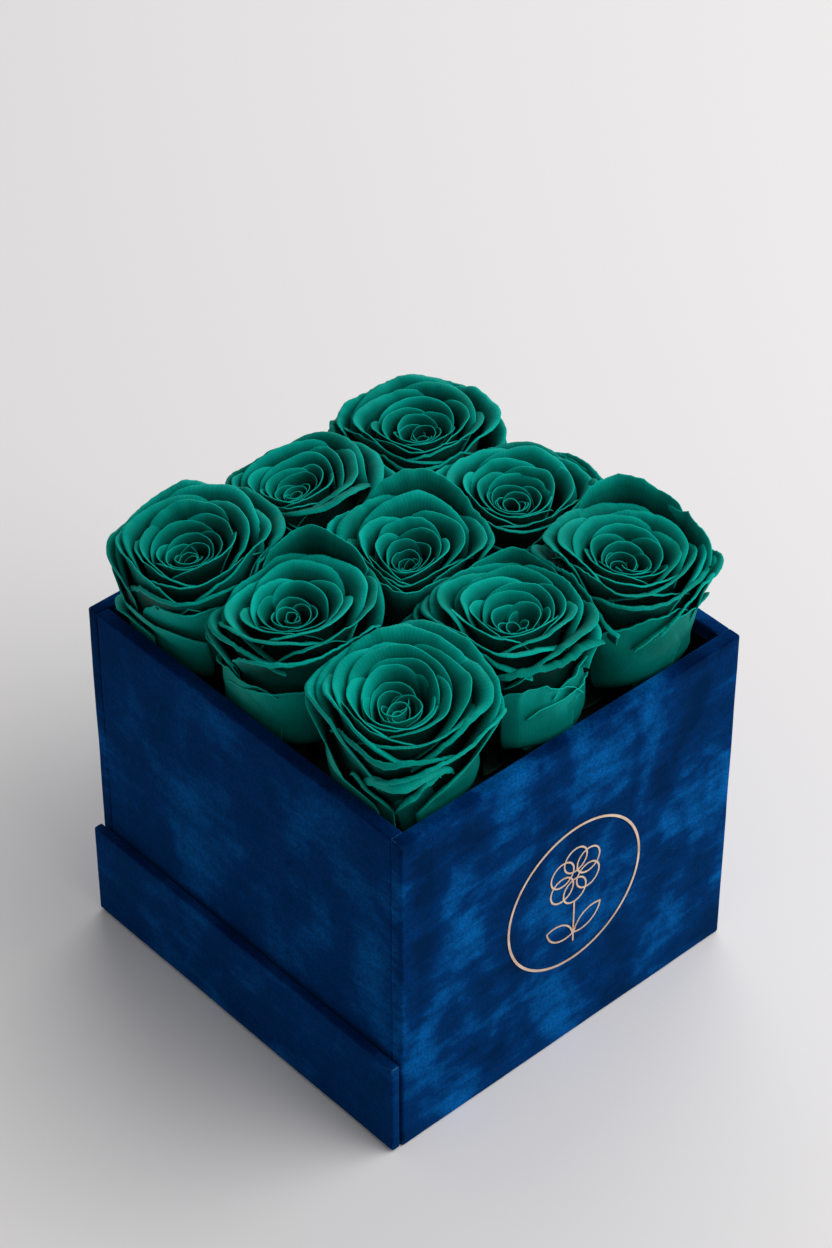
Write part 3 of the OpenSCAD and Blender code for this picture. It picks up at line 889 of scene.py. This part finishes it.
def petal_grid(rng, form, turn, hand):
    """One petal as a grid of points (rows from foot to rim), in mm from the rose's foot."""
    ragged = form["ragged"]
    profile, t = petal_profile(form)
    s = np.linspace(-1, 1, 34 + round(26 * ragged))[None, :]
    t = t[:, None]
    edge = np.abs(s)
    flat = np.stack([s * 1.3 + 0 * t, t * 0.5 + 0 * s, 0 * (s + t) + turn], axis=-1)
    ruffle = Ripple(rng.integers(1 << 30), 1.0)
    crimp = Ripple(rng.integers(1 << 30), 0.3)
    nick = Ripple(rng.integers(1 << 30), 0.14)
    cut = 1 - form["drop"] * edge**SHOULDER + form["slant"] * s + nick(flat) * (0.002 + 0.012 * ragged)
    for peak in rng.uniform(-0.85, 0.85, 3):
        cut = cut + np.exp(-np.abs(s - peak) / 0.06) * rng.uniform(0, 0.035) * ragged
    r = profile[:, 0:1] + 0 * s
    z = profile[:, 1:2] * cut
    flare = math.radians(form["flare"])
    point = np.exp(-(edge / 0.17) ** 1.2) * form["tip"] * t**8
    # Folds run down from the rim and fade towards the foot, sharper on the outside of each bend.
    pitch, slope, start = rng.uniform(2.2, 4.2), rng.uniform(-1.5, 1.5), rng.uniform(0, 6)
    crease = 1 - 2 * np.abs(np.sin(s * pitch + t * slope + start))
    r = r + point * math.sin(flare) + (ruffle(flat) * (0.3 + 1.9 * ragged) + crease * form["fold"]) * t**3
    z = z + point * math.cos(flare) + ruffle(flat * 1.3 + 5) * t**5 * (0.3 + 1.4 * ragged)
    r = r + crimp(flat) * t**9 * (0.1 + 0.4 * ragged)
    z = z + crimp(flat + 9) * t**9 * (0.1 + 0.5 * ragged)
    r = r - form["tuck"] * t * edge**2 + hand * t * s * (0.4 + 0.4 * ragged)
    spread = 0.6 + 0.4 * np.clip(t / 0.6, 0, 1)
    angle = turn + math.radians(form["wrap"]) * s * spread + rng.uniform(-0.12, 0.12) * t
    return np.stack([r * np.cos(angle), r * np.sin(angle), z], axis=-1)


def petal_shell(grid, thickness):
    """A petal's two faces and its cut edge, made of points and quads.

    Also gives each point's uv, its nearness to the edge for the painted edge highlight, and its painted shade
    from depth under the rim.
    """
    across = np.gradient(grid, axis=1)
    normal = np.cross(across, np.gradient(grid, axis=0))
    normal /= np.linalg.norm(normal, axis=-1, keepdims=True) + 1e-9
    rows, columns = grid.shape[:2]
    climb = np.concatenate([np.zeros((1, columns)),
                            np.cumsum(np.linalg.norm(np.diff(grid, axis=0), axis=-1), axis=0)])
    width = np.linalg.norm(across, axis=-1).sum(axis=1, keepdims=True) / 2
    s = np.linspace(-1, 1, columns)[None, :] + 0 * climb
    t = climb / climb[-1]
    half = thickness * (0.95 - 0.5 * t)[..., None]
    points = np.concatenate([(grid + normal * half).reshape(-1, 3), (grid - normal * half).reshape(-1, 3)])
    number = np.arange(rows * columns).reshape(rows, columns)
    front = np.stack([number[:-1, :-1], number[:-1, 1:], number[1:, 1:], number[1:, :-1]], axis=-1)
    front = front.reshape(-1, 4)
    back = front[:, ::-1] + rows * columns
    ring = np.concatenate([number[0, :-1], number[:-1, -1], number[-1, :0:-1], number[:0:-1, 0]])
    following = np.roll(ring, -1)
    strip = np.stack([ring, ring + rows * columns, following + rows * columns, following], axis=-1)
    uv = np.stack([s * 0.5, t], axis=-1).reshape(-1, 2)
    # Mask for the painted highlight along the petal's edge, 0.6 mm wide.
    to_edge = np.minimum(climb[-1] - climb, (1 - np.abs(s)) * width)
    rim = np.clip(1 - to_edge / 0.6, 0, 1).reshape(-1)
    # Painted shade: darker the deeper a point lies under its rim, and darker still near the heart's middle,
    # where real shade falls between crowded petals.
    painted_hollow_shade = 0.4 * np.exp(-(grid[..., 0] ** 2 + grid[..., 1] ** 2) / PAINTED_HOLLOW_R**2)
    below = np.clip((climb[-1] - climb) / PAINTED_SHADE_DEPTH + painted_hollow_shade, 0, 1).reshape(-1)
    quads = np.concatenate([front, back, strip])
    return points, quads, np.tile(uv, (2, 1)), np.tile(rim, 2), np.tile(below, 2)


def cell_limit(points, half_low, half_high, power):
    """Presses a petal into its cell, seen from above. The cell may reach further on some sides."""
    flat = points[..., :2]
    r = np.linalg.norm(flat, axis=-1) + 1e-9
    half = np.where(flat < 0, half_low, half_high)
    limit = 1 / ((np.abs(flat) / r[..., None] / half) ** power).sum(axis=-1) ** (1 / power)
    pressed = r / (1 + (r / limit) ** 8) ** (1 / 8)
    return np.concatenate([flat * (pressed / r)[..., None], points[..., 2:]], axis=-1)


def crowd_sway(points, rim_z):
    """Moves all the roses together above the rim, so that the lines where they press each other wander."""
    free = np.clip((points[:, 2] - rim_z - 2) / SWAY_RISE, 0, 1)
    free = free * free * (3 - 2 * free) * SWAY
    points[:, 0] += SWAY_X(points) * free
    points[:, 1] += SWAY_Y(points) * free
    return points


def ring_petals(rng, rose, hand, outward):
    """The petals of the head itself: group, points, sideways place, tone, and inset from the cell's edge."""
    lobe_turn = rng.uniform(0, math.pi)
    for i in range(rose.count):
        rank = (i / (rose.count - 1)) ** 1.15
        turn = math.radians(rose.first_turn) + hand * i * GOLDEN_TURN + rng.normal(0, 0.12)
        way = np.array([math.cos(turn), math.sin(turn)])
        free = float(np.clip(outward @ way, 0, 1))
        place = rng.normal(0, 0.4, 2) + way * 0.4
        if i < 5:
            place += np.array([math.cos(lobe_turn), math.sin(lobe_turn)]) * rose.lobes * (i % 2 - 0.5)
        group = "heart" if rank < OPEN_RANK else "petals" if rank < OUTER_RANK else "outer"
        grid = petal_grid(rng, ring_petal(rng, rank, free), turn, hand)
        yield group, grid, place, rng.uniform(0, 1), OUTER_INSET + (rose.count - 1 - i) * NEST_STEP


def loose_petals(rng, name, hand):
    """The loose petals of a rose, given as ring_petals gives its own."""
    for k, (direction, rim_z, *sizes) in enumerate(LOOSE_PETALS[name]):
        inset = k * LOOSE_STEP
        group = "tall" if rim_z > TALL_RIM else "guard"
        form = loose_petal(rng, inset, rim_z, *sizes)
        grid = petal_grid(rng, form, math.radians(direction), hand)
        yield group, grid, 0, rng.uniform(0, 1), inset


def leaned(grid, place, rose, swell):
    """A petal in its place, swelled unevenly, lifted, and leaned with its whole head."""
    tilt = np.sin(np.arctan(np.array(rose.lean) / HEART_Z))
    flat = (grid[..., :2] + place) * (1 + 0.05 * swell(grid))[..., None]
    z = grid[..., 2:] * (1 + rose.lift / HEART_Z)
    return np.concatenate([flat + z * tilt, z - (flat @ tilt)[..., None]], axis=-1)


def in_cell(grid, half, inset, is_loose, outward, rim_z):
    """A petal pressed into its rose's cell. rim_z is the height of the box's rim above the rose's foot."""
    z = grid[..., 2:]
    overhang = RIM_OVERHANG * np.clip((z - rim_z - 1) / EASE, 0, 1)
    lap = FAR_LAP * np.clip((z - FAR_LAP_Z) / EASE, 0, 1)
    room = half - inset
    if outward.any() and not is_loose:
        room = room - LOOSE_ROOM * np.clip((LOOSE_ROOM_TOP - z) / EASE, 0, 1)
    low_side = room + np.where(outward < 0, overhang, lap * (1, 0))
    high_side = room + np.where(outward > 0, overhang, lap * (0, 1))
    return cell_limit(grid, low_side, high_side, LOOSE_SQUARENESS if is_loose else RING_SQUARENESS)


def petals_joined(name, petals, material):
    """One piece made of petals, each given as (points, quads, uv, edge highlight mask, tone, painted shade).
    """
    points, quads, uv, rim, tone, below = zip(*petals)
    starts = np.cumsum([0] + [len(p) for p in points[:-1]])
    values = {"rim": rim, "tone": tone, "below": below}
    return mesh_piece(name, np.concatenate(points) * MM,
                      np.concatenate([q + start for q, start in zip(quads, starts)]), material,
                      np.concatenate(uv), {key: np.concatenate(value) for key, value in values.items()})


def make_rose(name, column, row, material):
    """A rose head in a few pieces: its heart, its open petals, its outer petals and its loose petals."""
    rose = ROSES[name]
    low, high = (np.array(v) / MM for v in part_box(f"rose_{name}_bloom"))
    foot = np.array([(low[0] + high[0]) / 2, (low[1] + high[1]) / 2, low[2]])
    half = (high - low)[:2] / 2
    rim_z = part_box("right_wall_velvet")[1][2] / MM
    outward = np.array([column - 1.0, row - 1.0])
    rng = np.random.default_rng(rose.seed)
    hand = 1 if rose.seed % 2 else -1
    swell = Ripple(rose.seed + 100, 30)
    groups = {}
    every = (*ring_petals(rng, rose, hand, outward), *loose_petals(rng, name, hand))
    for group, grid, place, tone, inset in every:
        is_loose = group in ("guard", "tall")
        grid = in_cell(leaned(grid, place, rose, swell), half, inset, is_loose, outward, rim_z - foot[2])
        points, quads, uv, rim, below = petal_shell(grid, PETAL_THICKNESS)
        # Painted shade strength: guard petals take a weaker painted shade, the other petals their rose's own
        # strength.
        below = np.clip(below * (GUARD_SHADE if group == "guard" else rose.tightness), 0, 1)
        points = crowd_sway(points + foot, rim_z)
        groups.setdefault(group, []).append((points, quads, uv, rim, np.full(len(points), tone), below))
    for group, petals in groups.items():
        piece = petals_joined(f"rose_{name}_{group}", petals, material)
        hand_over(piece, "box", "petal", f"rose_{name}_bloom")


# ---------------------------------------------------------------- stage

def area_light(name, place, aim, size, power, colour):
    """A soft rectangular light, turned to its aim."""
    light = bpy.data.lights.new(name, "AREA")
    light.shape = "RECTANGLE"
    light.size, light.size_y = size
    light.energy = power
    light.color = colour
    lamp = bpy.data.objects.new(name, light)
    lamp.location = place
    lamp.rotation_euler = (Vector(aim) - Vector(place)).to_track_quat("-Z", "Y").to_euler()
    bpy.context.scene.collection.objects.link(lamp)


def make_stage():
    """Plain pale floor, a broad window light from the right, a weaker one from behind, and a soft sky."""
    mesh = bpy.data.meshes.new("floor")
    edit = bmesh.new()
    bmesh.ops.create_grid(edit, x_segments=1, y_segments=1, size=6)
    edit.to_mesh(mesh)
    edit.free()
    floor = bpy.data.objects.new("floor", mesh)
    bpy.context.scene.collection.objects.link(floor)
    material, _, shader = new_material("floor")
    shader.inputs["Base Color"].default_value = (0.82, 0.81, 0.82, 1)
    shader.inputs["Roughness"].default_value = 0.7
    mesh.materials.append(material)

    centre = (0, 0, 0.1)
    area_light("window", (1.0, 0.75, 1.3), centre, (1.9, 1.9), 30, (1.0, 0.99, 0.98))
    area_light("back_fill", (-1.0, 1.2, 1.2), centre, (1.6, 1.6), 12, (1.0, 0.98, 0.96))
    world = bpy.data.worlds.new("soft")
    world.use_nodes = True
    background = world.node_tree.nodes["Background"]
    background.inputs["Color"].default_value = (1, 1, 1, 1)
    background.inputs["Strength"].default_value = 0.29
    bpy.context.scene.world = world
    bpy.context.scene.view_settings.view_transform = "Standard"


# ---------------------------------------------------------------- build

def finish_cad_nodes(materials):
    """Gives every solid that stays the finish of its own slot."""
    for part in frame["record"]["subparts"]:
        node, slot = part["node"], part["material_slot"]
        finish = materials["tray_velvet" if node == "drawer_lining" else slot]
        solid = frame["nodes"][node]
        if not solid.material_slots:
            solid.data.materials.append(finish)
        for place in solid.material_slots:
            place.material = finish


make_camera()
materials = make_materials()
finish_cad_nodes(materials)
make_velvet(materials["velvet"])
make_pad(materials["pad"])
blade = sepal_blade(materials["sepal"])
sepals = calyx_tree()
for row, row_name in enumerate(ROWS):
    for column, column_name in enumerate(COLUMNS):
        make_rose(f"{row_name}_{column_name}", column, row, materials["petal"])
        make_calyx(f"{row_name}_{column_name}", sepals, blade, materials["sepal"])
bpy.data.node_groups.remove(sepals)
bpy.data.objects.remove(blade)
make_stage()
